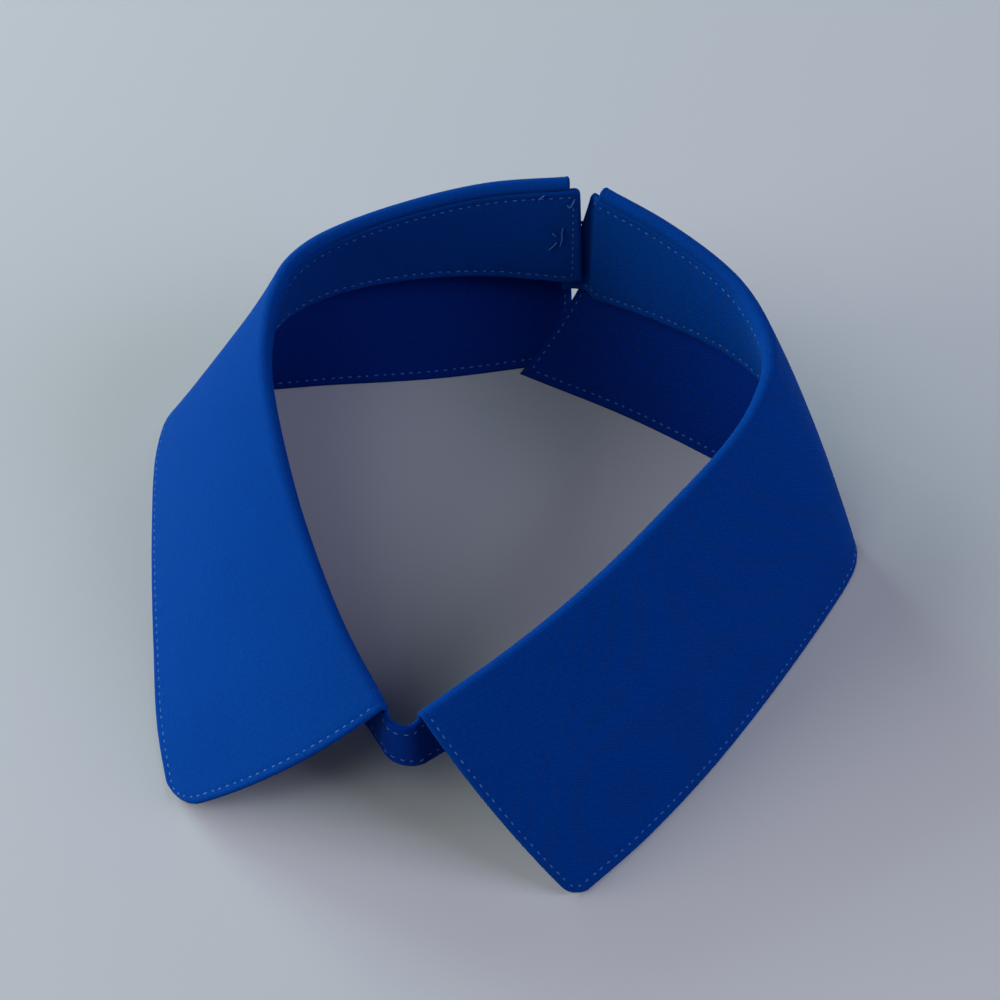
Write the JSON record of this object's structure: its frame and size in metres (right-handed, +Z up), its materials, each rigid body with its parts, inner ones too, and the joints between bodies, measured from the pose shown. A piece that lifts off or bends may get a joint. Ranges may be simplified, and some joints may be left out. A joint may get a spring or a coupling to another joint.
{
  "type": "detachable shirt collar",
  "caption": "Detachable turned-down shirt collar with a low stand, closed at the centre back by a small button and a cord loop, standing as if worn.",
  "frame": {"origin": "middle of the footprint, on the table the collar stands on", "axes": "+X to the right of someone facing the front points, +Y to the back closure, +Z up"},
  "size_m": [0.1632, 0.1536, 0.0569],
  "materials": {
    "cloth": "fine twill",
    "button_plastic": "polished",
    "thread": "twisted thread"
  },
  "bodies": {
    "root": {"band": "cloth", "leaf_left": "cloth", "leaf_right": "cloth", "button": "button_plastic", "button_shank": "thread", "button_loop": "thread"}
  },
  "joints": []
}
